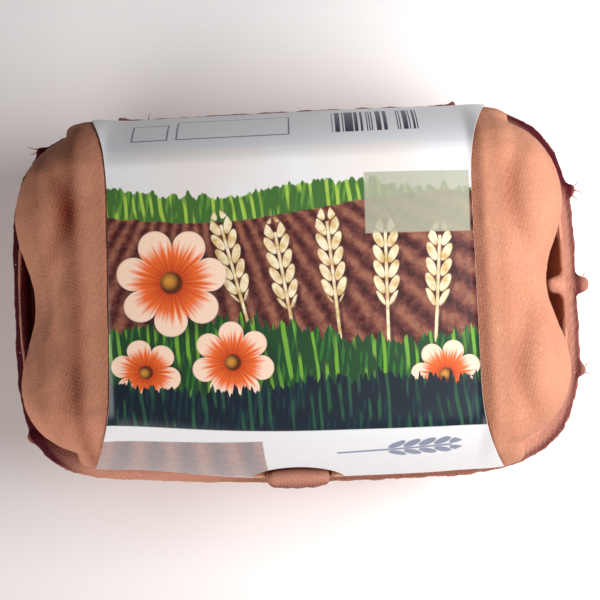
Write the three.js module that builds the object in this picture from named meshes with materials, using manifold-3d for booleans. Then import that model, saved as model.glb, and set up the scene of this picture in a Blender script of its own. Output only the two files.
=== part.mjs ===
// A shut moulded-pulp carton for six eggs: a tray of six cups under a wide rim, a domed lid that
// lies inside that rim, and a paper label wrapped over the lid from the lock to the hinge.
// Millimetres. +X runs along the carton, +Y to the hinge at the back, +Z up. The origin is under
// the middle of the carton's outer box, on the surface that the cups stand on.

import * as THREE from "three";
import { mergeVertices } from "three/addons/utils/BufferGeometryUtils.js";
import Module from "manifold-3d";

// Sizes of the whole carton
const RIM_LENGTH = 150;
const RIM_WIDTH = 99.2;
const RIM_TOP = 38.5;
const LABEL_PANEL_TOP = 68.2;
const PARTING_GAP = 0.3;

// The rim seen from above: straight along the lock and hinge, slightly bowed at the ends, and
// pressed in softly where the front turns to the left end
const RIM_POWER_X = 6.0;
const RIM_POWER_Y = 3.8;
const FRONT_DENT = { x: -45.0, depth: 2.4, spread: 18.0 };
const RIM_POINTS = 96;
const RIM_BAND = 3.0;
const RIM_EDGE_DROP = 1.9;
const RIM_EDGE_THICKNESS = 2.0;
const BELT_DEPTH = 10.5;
const BELT_INSET_TOP = 2.4;
const BELT_INSET_BOTTOM = 4.6;

// The six cups
const CUP_COLUMNS = 3;
const CUP_ROWS = 2;
const CUP_PITCH_X = 46.5;
const CUP_PITCH_Y = 45.0;
const CUP_FOOT_RADIUS = 15.5;
const CUP_MOUTH_RADIUS = 23.6;
const CUP_FOOT_ROUNDING = 3.0;
const CUP_POWER = 2.6;
const CUP_POINTS = 32;
const CUP_HEIGHT = 34.0;

// Hollow posts between the cups, open below
const POST_RADIUS_BOTTOM = 7.0;
const POST_RADIUS_TOP = 4.6;
const POST_TOP = 34.0;

// The gap between the rim and the lid's waist at each end, and the bead that edges it
const WAIST_GAP_OUTER_X = 70.2;
const WAIST_GAP_INNER_X = 61.0;
const WAIST_GAP_HALF_LENGTH = 17.0;
const WAIST_GAP_FLOOR = 30.0;
const WAIST_GAP_POWER = 4;
const BEAD_X = 71.3;
const BEAD_RADIUS = 1.0;
const BEAD_HALF_LENGTH = 11.0;

// Moulding ribs and lugs on the rim
const END_RIB = { x: 66.2, y: -0.2, z: 37.6, reach: 77.7, radius: 2.5 };
const LUG_RADIUS = 1.9;
const LUG_INSIDE = 2.6;
const LUG_REACH = { left: 1.2, right: 1.9 };
const RIGHT_LUGS_Y = [25.0, -22.8];
const LEFT_LUGS_Y = [42.0, -34.4];

// The lock at the front: a tongue of the tray that shows in an arch cut through the lid and label
const TONGUE_X = -1.0;
const TONGUE_WIDTH = 15.8;
const TONGUE_TOP = 51.0;
const TONGUE_FRONT = -49.2;
const TONGUE_BACK = -44.2;
const TONGUE_ROUNDING = 1.6;
const TONGUE_POWER = 5;
const PASSAGE_MARGIN = 0.6;
const ARCH_HALF_WIDTH = 11.0;
const ARCH_BOTTOM = 47.5;
const ARCH_TOP = 56.5;
const ARCH_DEPTH_Y = -42.4;
const LABEL_ARCH_MARGIN = 0.7;

// The hinge fold along the back
const HINGE_HALF_LENGTH = 44.0;
const HINGE_RADIUS = 0.8;
const HINGE_DROP = 1.2;
const HINGE_STEPS = 14;
const HINGE_POINTS = 12;
const HINGE_KNOB_RADIUS = 1.2;

// The lid seen from above: a band along each side of the label, and beyond it two lobes and a waist
const LID_MARGIN_FRONT = 1.8;
const LID_MARGIN_BACK = 2.0;
const LID_DENT_DEPTH = 3.6;
const CORNER = {
  from: 38.0,
  to: 56.0,
  left: { front: 0.2, back: 2.2 },
  right: { front: 0.9, back: 1.0 },
  crispness: 2.0,
};
const BAND_REACH = 57.5;
const BAND_CORNER = 2.5;
const BAND_BLEND = 1.0;
const LOBE_REACH = { left: 71.6, right: 70.6 };
const WAIST_REACH = { left: 67.0, right: 65.3 };
const LOBE_Y = 21.5;
const LOBE_ROOT_X = 50.0;
const LOBE_ROUND = {
  left: { front: 17.6, back: 22.0 },
  right: { front: 19.2, back: 20.8 },
};

// The lid seen from its sides: rounded walls, and a flat crest beside the label with two domed lobes
// beyond it. The crest ends in a crease at each lobe and falls more softly into the waist.
const END_SHOULDER = 9.5;
const END_SHOULDER_POWER = 2.0;
const SIDE_SHOULDER = 16.0;
const SIDE_SHOULDER_POWER = 1.7;
const CREST = { foot: 43.6, from: 47.6, to: 51.0, end: 54.2, softened: 3.5, height: 1.9 };
const FALL = { x: 51.0, slope: 0.4, start: 2.5 };
const LOBE = { x: 59.5, y: 22.0, height: 3.4, spreadX: 4.0, spreadY: 9.5 };

// Where the lid's mesh lines run: straight up to the crest, then bent to the outline at the ends
const LID_LINES_X = [0, 16.0, 30.0, 40.0, 43.0, 44.2, 45.4, 46.6, 47.8, 51.0];
const LID_STRAIGHT_X = 51.0;
const LID_END_STEPS = 10;
const LID_SIDE_STEPS = 15;
const EDGE_CROWDING = 2.1;

// The label
const LABEL_HALF_WIDTH_TOP = 44.5;
const LABEL_FLARE = 7.2;
const LABEL_FLARE_START_Y = 20.0;
const LABEL_FLARE_LENGTH = 27.0;
const LABEL_FLARE_POWER = 3.2;
const LABEL_LIFT = 0.35;
const LABEL_THICKNESS = 0.4;
const LABEL_EDGE_RISE = 4.4;
const LABEL_LINES_X = [0, 16.0, 30.0, 40.0, 43.0];
const LABEL_EDGE_STEPS = 4;

// Colours
const PULP_COLOUR = "#c98a6c";
const PAPER_COLOUR = "#d6d8d8";

const LID_BASE = RIM_TOP + PARTING_GAP;
const HALF_LENGTH = RIM_LENGTH / 2;
const HALF_WIDTH = RIM_WIDTH / 2;

const wasm = await Module();
wasm.setup();

// Joining and cutting

function solid(geometry) {
  const bare = geometry.clone();
  bare.deleteAttribute("normal");
  bare.deleteAttribute("uv");
  const merged = mergeVertices(bare);
  return new wasm.Manifold(new wasm.Mesh({
    numProp: 3,
    vertProperties: new Float32Array(merged.attributes.position.array),
    triVerts: new Uint32Array(merged.index.array),
  }));
}

function geometryOf(body) {
  const mesh = body.getMesh();
  const geometry = new THREE.BufferGeometry();
  geometry.setAttribute("position", new THREE.BufferAttribute(mesh.vertProperties, 3));
  geometry.setIndex(new THREE.BufferAttribute(mesh.triVerts, 1));
  geometry.computeVertexNormals();
  return geometry;
}

// Outlines and lofts

function superellipse(halfX, halfY, powerX, powerY, count) {
  const points = [];
  for (let i = 0; i < count; i += 1) {
    const angle = (2 * Math.PI * i) / count;
    const c = Math.cos(angle);
    const s = Math.sin(angle);
    points.push(new THREE.Vector2(
      halfX * Math.sign(c) * Math.abs(c) ** (2 / powerX),
      halfY * Math.sign(s) * Math.abs(s) ** (2 / powerY),
    ));
  }
  return points;
}

// A closed body through a stack of rings that run counter-clockwise, lowest first
function loft(rings) {
  const count = rings[0].length;
  const vertices = rings.flat();
  const triangles = [];
  for (let level = 0; level + 1 < rings.length; level += 1) {
    for (let i = 0; i < count; i += 1) {
      const a = level * count + i;
      const b = level * count + ((i + 1) % count);
      triangles.push(a, b, b + count, a, b + count, a + count);
    }
  }
  const lowest = 0;
  const highest = (rings.length - 1) * count;
  const bottomCentre = vertices.length;
  vertices.push(centreOf(rings[0]), centreOf(rings[rings.length - 1]));
  for (let i = 0; i < count; i += 1) {
    const next = (i + 1) % count;
    triangles.push(bottomCentre, lowest + next, lowest + i);
    triangles.push(bottomCentre + 1, highest + i, highest + next);
  }
  return meshFrom(vertices, triangles);
}

function centreOf(points) {
  const centre = new THREE.Vector3();
  points.forEach((point) => centre.add(point));
  return centre.divideScalar(points.length);
}

function meshFrom(vertices, triangles) {
  const geometry = new THREE.BufferGeometry().setFromPoints(vertices);
  geometry.setIndex(triangles);
  geometry.computeVertexNormals();
  return geometry;
}

// The tray

function frontDent(x, depth) {
  return depth * swell(x - FRONT_DENT.x, FRONT_DENT.spread);
}

function rimRing(inset, z) {
  const halfX = HALF_LENGTH - inset;
  const halfY = HALF_WIDTH - inset;
  return superellipse(halfX, halfY, RIM_POWER_X, RIM_POWER_Y, RIM_POINTS).map((point) => {
    const dent = frontDent(point.x, FRONT_DENT.depth) * Math.max(-point.y / HALF_WIDTH, 0);
    return new THREE.Vector3(point.x, point.y + dent, z);
  });
}

// How far the rim reaches along Y at a given x, and along X at a given y
function rimReachY(x) {
  return HALF_WIDTH * (1 - (Math.abs(x) / HALF_LENGTH) ** RIM_POWER_X) ** (1 / RIM_POWER_Y);
}

function rimReachX(y) {
  return HALF_LENGTH * (1 - (Math.abs(y) / HALF_WIDTH) ** RIM_POWER_Y) ** (1 / RIM_POWER_X);
}

function rimAndBelt() {
  const edgeTop = RIM_TOP - RIM_EDGE_DROP;
  const edgeBottom = edgeTop - RIM_EDGE_THICKNESS;
  const edgeRounding = RIM_EDGE_THICKNESS / 4;
  return loft([
    rimRing(BELT_INSET_BOTTOM, RIM_TOP - BELT_DEPTH),
    rimRing(BELT_INSET_TOP, edgeBottom),
    rimRing(edgeRounding, edgeBottom),
    rimRing(0, edgeBottom + edgeRounding),
    rimRing(0, edgeTop - edgeRounding),
    rimRing(edgeRounding, edgeTop),
    rimRing(RIM_BAND, RIM_TOP),
  ]);
}

function cupRadius(z) {
  return CUP_FOOT_RADIUS + (CUP_MOUTH_RADIUS - CUP_FOOT_RADIUS) * (z / CUP_HEIGHT) ** 0.85;
}

function cup(centreX, centreY) {
  const ring = (radius, z) => ringAbout(centreX, centreY, z, radius, radius, CUP_POWER);
  const rings = [];
  for (const degrees of [0, 30, 60, 90]) {
    const angle = THREE.MathUtils.degToRad(degrees);
    const z = CUP_FOOT_ROUNDING * (1 - Math.cos(angle));
    rings.push(ring(cupRadius(z) - CUP_FOOT_ROUNDING * (1 - Math.sin(angle)), z));
  }
  for (const share of [0.25, 0.5, 0.75, 1]) {
    rings.push(ring(cupRadius(CUP_HEIGHT * share), CUP_HEIGHT * share));
  }
  return loft(rings);
}

function postHollow(centreX) {
  const ring = (radius, z) => ringAbout(centreX, 0, z, radius, radius, 2);
  return loft([
    ring(POST_RADIUS_BOTTOM, CUP_FOOT_ROUNDING),
    ring(POST_RADIUS_BOTTOM, RIM_TOP - BELT_DEPTH),
    ring(POST_RADIUS_TOP, POST_TOP),
  ]);
}

// A rod with round ends between two points
function rod(from, to, radius) {
  const along = new THREE.Vector3().subVectors(to, from);
  const geometry = new THREE.CapsuleGeometry(radius, along.length(), 3, 12);
  const up = new THREE.Vector3(0, 1, 0);
  geometry.applyQuaternion(new THREE.Quaternion().setFromUnitVectors(up, along.normalize()));
  const middle = new THREE.Vector3().addVectors(from, to).multiplyScalar(0.5);
  return geometry.translate(middle.x, middle.y, middle.z);
}

// A superellipse ring about a point, at the height z
function ringAbout(x, y, z, halfX, halfY, power) {
  return superellipse(halfX, halfY, power, power, CUP_POINTS)
    .map((point) => new THREE.Vector3(x + point.x, y + point.y, z));
}

function waistGap(side) {
  const halfX = (WAIST_GAP_OUTER_X - WAIST_GAP_INNER_X) / 2;
  const x = side * (WAIST_GAP_OUTER_X - halfX);
  return loft([WAIST_GAP_FLOOR, RIM_TOP + 2]
    .map((z) => ringAbout(x, 0, z, halfX, WAIST_GAP_HALF_LENGTH, WAIST_GAP_POWER)));
}

function waistBead(side) {
  return rod(
    new THREE.Vector3(side * BEAD_X, -BEAD_HALF_LENGTH, RIM_TOP),
    new THREE.Vector3(side * BEAD_X, BEAD_HALF_LENGTH, RIM_TOP),
    BEAD_RADIUS,
  );
}

function endRib() {
  return rod(
    new THREE.Vector3(END_RIB.x + END_RIB.radius, END_RIB.y, END_RIB.z),
    new THREE.Vector3(END_RIB.reach - END_RIB.radius, END_RIB.y, END_RIB.z),
    END_RIB.radius,
  );
}

// A lug lies across the rim, square to its edge, at the height y on the given side
function lug(side, y) {
  const edgeX = rimReachX(y);
  const outward = new THREE.Vector3(
    (RIM_POWER_X * (edgeX / HALF_LENGTH) ** (RIM_POWER_X - 1)) / HALF_LENGTH,
    (RIM_POWER_Y * Math.sign(y) * (Math.abs(y) / HALF_WIDTH) ** (RIM_POWER_Y - 1)) / HALF_WIDTH,
    0,
  ).normalize();
  const edge = new THREE.Vector3(edgeX, y, RIM_TOP - LUG_RADIUS);
  const reach = side < 0 ? LUG_REACH.left : LUG_REACH.right;
  const tip = edge.clone().addScaledVector(outward, reach - LUG_RADIUS);
  const root = edge.clone().addScaledVector(outward, -LUG_INSIDE);
  [tip, root].forEach((point) => { point.x *= side; });
  return rod(root, tip, LUG_RADIUS);
}

function tongue() {
  const halfDepth = (TONGUE_BACK - TONGUE_FRONT) / 2;
  const y = (TONGUE_BACK + TONGUE_FRONT) / 2;
  const ring = (inset, z) => ringAbout(
    TONGUE_X,
    y,
    z,
    TONGUE_WIDTH / 2 - inset,
    halfDepth - inset,
    TONGUE_POWER,
  );
  const rings = [ring(0, RIM_TOP - RIM_EDGE_DROP - RIM_EDGE_THICKNESS)];
  for (const degrees of [0, 30, 60, 85]) {
    const angle = THREE.MathUtils.degToRad(degrees);
    const inset = TONGUE_ROUNDING * (1 - Math.cos(angle));
    rings.push(ring(inset, TONGUE_TOP - TONGUE_ROUNDING * (1 - Math.sin(angle))));
  }
  return loft(rings);
}

// The fold follows the lid's back edge, with a small knob where it ends
function hingeFold() {
  const place = (x) => {
    const y = sideReach(x, 1) + PARTING_GAP + HINGE_RADIUS;
    return new THREE.Vector3(x, y, RIM_TOP - HINGE_DROP);
  };
  const stations = [];
  for (let i = 0; i <= HINGE_STEPS; i += 1) {
    stations.push(place(HINGE_HALF_LENGTH * ((2 * i) / HINGE_STEPS - 1)));
  }
  const section = new THREE.Shape(superellipse(HINGE_RADIUS, HINGE_RADIUS, 2, 2, HINGE_POINTS));
  const fold = new THREE.ExtrudeGeometry(section, {
    steps: HINGE_STEPS,
    extrudePath: new THREE.CatmullRomCurve3(stations),
    bevelEnabled: false,
  });
  const knobs = [-1, 1].map((side) => {
    const end = place(side * HINGE_HALF_LENGTH);
    const outwards = HINGE_KNOB_RADIUS - HINGE_RADIUS;
    const ball = new THREE.SphereGeometry(HINGE_KNOB_RADIUS, HINGE_POINTS, HINGE_POINTS / 2);
    return solid(ball.translate(end.x, end.y + outwards, end.z));
  });
  return knobs.reduce((sum, knob) => sum.add(knob), solid(fold));
}

function trayGeometry() {
  let tray = solid(rimAndBelt());
  for (let column = 0; column < CUP_COLUMNS; column += 1) {
    for (let row = 0; row < CUP_ROWS; row += 1) {
      const x = (column - (CUP_COLUMNS - 1) / 2) * CUP_PITCH_X;
      const y = (row - (CUP_ROWS - 1) / 2) * CUP_PITCH_Y;
      tray = tray.add(solid(cup(x, y)));
    }
  }
  for (const side of [-1, 1]) {
    tray = tray.subtract(solid(postHollow((side * CUP_PITCH_X) / 2)));
    tray = tray.subtract(solid(waistGap(side)));
    tray = tray.add(solid(waistBead(side)));
  }
  RIGHT_LUGS_Y.forEach((y) => { tray = tray.add(solid(lug(1, y))); });
  LEFT_LUGS_Y.forEach((y) => { tray = tray.add(solid(lug(-1, y))); });
  tray = tray.add(solid(endRib())).add(solid(tongue())).add(hingeFold());
  return geometryOf(tray);
}

// The lid's outer surface, as a height over each point

// How far the lid reaches along Y at a given x, on the front or back side that y is on
function sideReach(x, y) {
  const reach = rimReachY(Math.min(Math.abs(x), BAND_REACH));
  const toCorner = THREE.MathUtils.smoothstep(Math.abs(x), CORNER.from, CORNER.to);
  const corner = x < 0 ? CORNER.left : CORNER.right;
  if (y > 0) return reach - LID_MARGIN_BACK + corner.back * toCorner;
  const dent = frontDent(Math.max(x, -BAND_REACH), LID_DENT_DEPTH);
  return reach - LID_MARGIN_FRONT + corner.front * toCorner - dent;
}

// How far the lid reaches along X at a given y, on the left or right end that x is on
function endReach(x, y) {
  const away = Math.abs(y);
  const lobe = x < 0 ? LOBE_REACH.left : LOBE_REACH.right;
  if (away < LOBE_Y) {
    const waist = x < 0 ? WAIST_REACH.left : WAIST_REACH.right;
    return (lobe + waist) / 2 - ((lobe - waist) / 2) * Math.cos((Math.PI * away) / LOBE_Y);
  }
  const rounds = x < 0 ? LOBE_ROUND.left : LOBE_ROUND.right;
  const round = y < 0 ? rounds.front : rounds.back;
  const share = Math.min((away - LOBE_Y) / round, 1);
  const lobeEdge = LOBE_ROOT_X + (lobe - LOBE_ROOT_X) * Math.sqrt(1 - share ** 2);
  const intoCorner = Math.max(away - (sideReach(Math.sign(x) * BAND_REACH, y) - BAND_CORNER), 0);
  const cornerDrop = BAND_CORNER - Math.sqrt(Math.max(BAND_CORNER ** 2 - intoCorner ** 2, 0));
  return blendedMaximum(lobeEdge, BAND_REACH - cornerDrop, BAND_BLEND);
}

function blendedMaximum(a, b, blend) {
  return (a + b + Math.sqrt((a - b) ** 2 + blend ** 2)) / 2;
}

// Rises from 0 at the lid's edge to 1 where the wall has turned into the top
function wallRise(distance, shoulder, power) {
  const share = THREE.MathUtils.clamp(1 - distance / shoulder, 0, 1);
  return (1 - share ** power) ** (1 / power);
}

// Two walls' rises as one: the lower of the two, rounded over where they meet
function whereBothRise(a, b) {
  if (Math.min(a, b) <= 0) return 0;
  const { crispness } = CORNER;
  return (a ** -crispness + b ** -crispness - 1) ** (-1 / crispness);
}

function swell(distance, spread) {
  return Math.exp(-((distance / spread) ** 2) / 2);
}

function topHeight(x, y) {
  const alongX = Math.abs(x);
  const besideLobe = swell(Math.abs(y) - LOBE.y, LOBE.spreadY);
  const rise = THREE.MathUtils.smoothstep(alongX, CREST.foot, CREST.from);
  const crestEnd = CREST.end + CREST.softened * (1 - besideLobe);
  const crest = CREST.height * rise * (1 - THREE.MathUtils.smoothstep(alongX, CREST.to, crestEnd));
  const fall = FALL.slope * (Math.hypot(Math.max(alongX - FALL.x, 0), FALL.start) - FALL.start);
  const lobe = LOBE.height * besideLobe * swell(alongX - LOBE.x, LOBE.spreadX);
  return LABEL_PANEL_TOP + crest - fall + lobe;
}

function lidHeight(x, y) {
  const endWall = wallRise(endReach(x, y) - Math.abs(x), END_SHOULDER, END_SHOULDER_POWER);
  const sideWall = wallRise(sideReach(x, y) - Math.abs(y), SIDE_SHOULDER, SIDE_SHOULDER_POWER);
  return LID_BASE + (topHeight(x, y) - LID_BASE) * whereBothRise(endWall, sideWall);
}

// Shares from -1 to 1, crowded towards both ends, where the walls curve
function crowdedShares(steps) {
  const shares = [];
  for (let i = -steps; i <= steps; i += 1) {
    shares.push(Math.sign(i) * (1 - (1 - Math.abs(i) / steps) ** EDGE_CROWDING));
  }
  return shares;
}

// Distances from the middle, which start with 0, as places on both sides of it
function onBothSides(distances) {
  return [...distances.slice(1).map((distance) => -distance).reverse(), ...distances];
}

// Plan positions of the lid's mesh lines along X: straight ones, and bent ones beyond them
function lidColumns() {
  const bends = crowdedShares(LID_END_STEPS).filter((bend) => bend > 0);
  return [
    ...bends.map((bend) => ({ side: -1, bend })).reverse(),
    ...onBothSides(LID_LINES_X).map((x) => ({ side: Math.sign(x), bend: 0, x })),
    ...bends.map((bend) => ({ side: 1, bend })),
  ];
}

function lidPoint(column, share) {
  const straightX = column.bend === 0 ? column.x : column.side * LID_STRAIGHT_X;
  const nominalX = straightX + column.side * (BAND_REACH - BAND_CORNER - LID_STRAIGHT_X) * column.bend;
  const y = share * sideReach(nominalX, share);
  const x = straightX + column.side * (endReach(nominalX, y) - LID_STRAIGHT_X) * column.bend;
  return new THREE.Vector3(x, y, lidHeight(x, y));
}

function gridTriangles(columns, rows, offset, flipped) {
  const triangles = [];
  for (let i = 0; i + 1 < columns; i += 1) {
    for (let j = 0; j + 1 < rows; j += 1) {
      const a = offset + i * rows + j;
      const b = a + rows;
      if (flipped) triangles.push(a, b + 1, b, a, a + 1, b + 1);
      else triangles.push(a, b, b + 1, a, b + 1, a + 1);
    }
  }
  return triangles;
}

// Indices of a grid's border, counter-clockwise seen from above
function gridBorder(columns, rows) {
  const border = [];
  for (let i = 0; i < columns - 1; i += 1) border.push(i * rows);
  for (let j = 0; j < rows - 1; j += 1) border.push((columns - 1) * rows + j);
  for (let i = columns - 1; i > 0; i -= 1) border.push(i * rows + rows - 1);
  for (let j = rows - 1; j > 0; j -= 1) border.push(j);
  return border;
}

function lidShell() {
  const columns = lidColumns();
  const shares = crowdedShares(LID_SIDE_STEPS);
  const vertices = columns.flatMap((column) => shares.map((share) => lidPoint(column, share)));
  const triangles = gridTriangles(columns.length, shares.length, 0, false);
  const border = gridBorder(columns.length, shares.length);
  const underside = vertices.length;
  vertices.push(new THREE.Vector3(0, 0, LID_BASE));
  border.forEach((vertex, i) => {
    triangles.push(underside, border[(i + 1) % border.length], vertex);
  });
  return meshFrom(vertices, triangles);
}

// The opening for the lock: a passage as wide as the tongue under a wider arch
function lockOpening(margin) {
  const passage = TONGUE_WIDTH / 2 + PASSAGE_MARGIN + margin;
  const halfWidth = ARCH_HALF_WIDTH + margin;
  const shape = new THREE.Shape();
  shape.moveTo(-passage, RIM_TOP - 1);
  shape.lineTo(passage, RIM_TOP - 1);
  shape.lineTo(passage, ARCH_BOTTOM);
  shape.absellipse(0, ARCH_BOTTOM, halfWidth, ARCH_TOP + margin - ARCH_BOTTOM, 0, Math.PI);
  shape.lineTo(-passage, ARCH_BOTTOM);
  const front = -HALF_WIDTH - 1;
  const back = ARCH_DEPTH_Y + margin;
  const geometry = new THREE.ExtrudeGeometry(shape, {
    depth: back - front,
    bevelEnabled: false,
    curveSegments: 10,
  });
  return geometry.rotateX(Math.PI / 2).translate(TONGUE_X, back, 0);
}

function lidGeometry() {
  return geometryOf(solid(lidShell()).subtract(solid(lockOpening(0))));
}

// The label

function lidNormal(x, y) {
  const step = 0.02;
  const slopeX = (lidHeight(x + step, y) - lidHeight(x - step, y)) / (2 * step);
  const slopeY = (lidHeight(x, y + step) - lidHeight(x, y - step)) / (2 * step);
  return new THREE.Vector3(-slopeX, -slopeY, 1).normalize();
}

// Half the label's width at a given y, which grows where the sleeve turns down the walls
function labelHalfWidth(y) {
  const share = Math.max(Math.abs(y) - LABEL_FLARE_START_Y, 0) / LABEL_FLARE_LENGTH;
  return LABEL_HALF_WIDTH_TOP + LABEL_FLARE * share ** LABEL_FLARE_POWER;
}

// Plan positions of the label's mesh lines along X, where the label has the given half width
function labelLines(halfWidth) {
  const last = LABEL_LINES_X[LABEL_LINES_X.length - 1];
  const lines = [...LABEL_LINES_X];
  for (let i = 1; i <= LABEL_EDGE_STEPS; i += 1) {
    lines.push(THREE.MathUtils.lerp(last, halfWidth, i / LABEL_EDGE_STEPS));
  }
  return onBothSides(lines);
}

// The label's mesh lines lie over the lid's, so that the two stay the same distance apart
function labelShares() {
  const riseShare = LABEL_EDGE_RISE / (LABEL_PANEL_TOP - LID_BASE);
  const wallShare = (1 - riseShare ** SIDE_SHOULDER_POWER) ** (1 / SIDE_SHOULDER_POWER);
  const edge = 1 - (SIDE_SHOULDER * (1 - wallShare)) / (HALF_WIDTH - LID_MARGIN_FRONT);
  const between = crowdedShares(LID_SIDE_STEPS).filter((share) => Math.abs(share) < edge);
  return [-edge, ...between, edge];
}

function labelGeometry() {
  const shares = labelShares();
  const inner = [];
  const outer = [];
  const rows = shares.length;
  const columns = labelLines(LABEL_HALF_WIDTH_TOP).length;
  for (let column = 0; column < columns; column += 1) {
    for (const share of shares) {
      const x = labelLines(labelHalfWidth(share * (HALF_WIDTH - LID_MARGIN_FRONT)))[column];
      const y = share * sideReach(x, share);
      const surface = new THREE.Vector3(x, y, lidHeight(x, y));
      const normal = lidNormal(x, y);
      inner.push(surface.clone().addScaledVector(normal, LABEL_LIFT));
      outer.push(surface.clone().addScaledVector(normal, LABEL_LIFT + LABEL_THICKNESS));
    }
  }
  const triangles = [
    ...gridTriangles(columns, rows, 0, true),
    ...gridTriangles(columns, rows, inner.length, false),
  ];
  const border = gridBorder(columns, rows);
  border.forEach((vertex, i) => {
    const next = border[(i + 1) % border.length];
    triangles.push(vertex, next, next + inner.length, vertex, next + inner.length, vertex + inner.length);
  });
  const sheet = meshFrom([...inner, ...outer], triangles);
  return geometryOf(solid(sheet).subtract(solid(lockOpening(LABEL_ARCH_MARGIN))));
}

// The carton

function part(name, geometry, colour, roughness) {
  const material = new THREE.MeshStandardMaterial({ color: colour, roughness, metalness: 0 });
  const mesh = new THREE.Mesh(geometry, material);
  mesh.name = name;
  return mesh;
}

const carton = new THREE.Group();
carton.add(part("tray", trayGeometry(), PULP_COLOUR, 0.95));
carton.add(part("lid", lidGeometry(), PULP_COLOUR, 0.95));
carton.add(part("label", labelGeometry(), PAPER_COLOUR, 0.5));

// The origin goes under the middle of the outer box
const box = new THREE.Box3().setFromObject(carton);
const middle = box.getCenter(new THREE.Vector3());
carton.position.set(-middle.x, -middle.y, -box.min.z);

export default carton;
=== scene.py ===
import math

import bmesh
import bpy
from mathutils import Matrix, Vector, noise


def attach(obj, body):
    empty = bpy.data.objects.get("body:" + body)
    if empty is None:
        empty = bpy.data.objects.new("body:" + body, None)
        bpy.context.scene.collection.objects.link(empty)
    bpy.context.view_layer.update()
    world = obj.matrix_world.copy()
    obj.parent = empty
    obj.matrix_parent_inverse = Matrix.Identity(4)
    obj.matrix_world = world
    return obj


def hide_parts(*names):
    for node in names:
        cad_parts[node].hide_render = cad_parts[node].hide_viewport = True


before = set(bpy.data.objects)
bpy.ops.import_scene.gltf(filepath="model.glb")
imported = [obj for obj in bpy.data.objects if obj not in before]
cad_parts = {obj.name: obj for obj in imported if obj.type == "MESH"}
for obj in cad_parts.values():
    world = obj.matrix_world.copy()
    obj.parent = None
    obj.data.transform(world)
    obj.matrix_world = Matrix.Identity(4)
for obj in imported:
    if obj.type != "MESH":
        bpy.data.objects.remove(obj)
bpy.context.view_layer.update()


# The camera looks down on the shut carton from about 31 cm over the lid. It leans a little, so
# that the front wall of the lid and its lock show below the top.

PHOTO_WIDTH_PX = 600
FOCAL_PX = 1300
SENSOR_MM = 36

camera_data = bpy.data.cameras.new("camera")
camera_data.sensor_width = SENSOR_MM
camera_data.lens = FOCAL_PX / PHOTO_WIDTH_PX * SENSOR_MM
camera_data.clip_start = 0.01
camera = bpy.data.objects.new("camera", camera_data)
camera.location = (0.0043, -0.01536, 0.381)
camera.rotation_euler = [math.radians(degrees) for degrees in (2.3, 0.82, -2.66)]
bpy.context.scene.collection.objects.link(camera)
bpy.context.scene.camera = camera
bpy.context.scene.view_settings.view_transform = "Standard"


# The light of a window to the right of the carton, a wide weak fill from the front left, and
# the pale floor that the carton stands on.

WINDOW_AT = (0.25, -0.01, 0.31)
WINDOW_SIZE = 0.24
WINDOW_WATTS = 3.0
WINDOW_FACES = (0.35, 0.0, 0.0)
FILL_AT = (-0.33, -0.44, 0.23)
FILL_SIZE = 0.35
FILL_WATTS = 2.25
FILL_FACES = (0.0, 0.0, 0.03)
ROOM_STRENGTH = 0.13
FLOOR_HALF = 1.5


def linear(hex_colour):
    """An sRGB hex colour as the linear RGBA that shaders and lights take."""
    channels = [int(hex_colour[i:i + 2], 16) / 255 for i in (1, 3, 5)]
    bent = [c / 12.92 if c <= 0.04045 else ((c + 0.055) / 1.055) ** 2.4 for c in channels]
    return (*bent, 1.0)


def add_node(material, kind, inputs=None, **settings):
    """Adds a node to a material. A socket among the inputs is linked, any other value is set."""
    node = material.node_tree.nodes.new(kind)
    for name, value in settings.items():
        setattr(node, name, value)
    for socket, value in (inputs or {}).items():
        if isinstance(value, bpy.types.NodeSocket):
            material.node_tree.links.new(value, node.inputs[socket])
        else:
            node.inputs[socket].default_value = value
    return node


def new_material(name):
    """A new material with no nodes in it yet."""
    material = bpy.data.materials.new(name)
    material.use_nodes = True
    material.node_tree.nodes.clear()
    return material


def area_light(name, place, target, size, watts, colour):
    """A square area light that faces a point."""
    data = bpy.data.lights.new(name, "AREA")
    data.size = size
    data.energy = watts
    data.color = linear(colour)[:3]
    light = bpy.data.objects.new(name, data)
    light.location = place
    light.rotation_euler = (Vector(target) - Vector(place)).to_track_quat("-Z", "Y").to_euler()
    bpy.context.scene.collection.objects.link(light)


area_light("window", WINDOW_AT, WINDOW_FACES, WINDOW_SIZE, WINDOW_WATTS, "#FEFCFC")
area_light("fill", FILL_AT, FILL_FACES, FILL_SIZE, FILL_WATTS, "#FFF8F5")

world = bpy.data.worlds.new("room")
world.use_nodes = True
world.node_tree.nodes["Background"].inputs["Color"].default_value = linear("#F0E8EA")
world.node_tree.nodes["Background"].inputs["Strength"].default_value = ROOM_STRENGTH
bpy.context.scene.world = world

# Matt painted board: one plain pale colour
board = new_material("matt painted board")
board_shader = add_node(board, "ShaderNodeBsdfPrincipled", {
    "Base Color": linear("#F4F3F3"),
    "Roughness": 0.8,
})
add_node(board, "ShaderNodeOutputMaterial", {"Surface": board_shader.outputs[0]})

floor_bm = bmesh.new()
bmesh.ops.create_grid(floor_bm, x_segments=1, y_segments=1, size=FLOOR_HALF)
floor_mesh = bpy.data.meshes.new("floor")
floor_bm.to_mesh(floor_mesh)
floor_bm.free()
floor_mesh.materials.append(board)
floor = bpy.data.objects.new("floor", floor_mesh)
bpy.context.scene.collection.objects.link(floor)


# The tray: six cups under one wide rim with its lock tongue, ribs and lugs, pressed in one piece
# from wet paper pulp on a wire mould and dried. Its edges are soft and its skin is felted.

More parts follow.
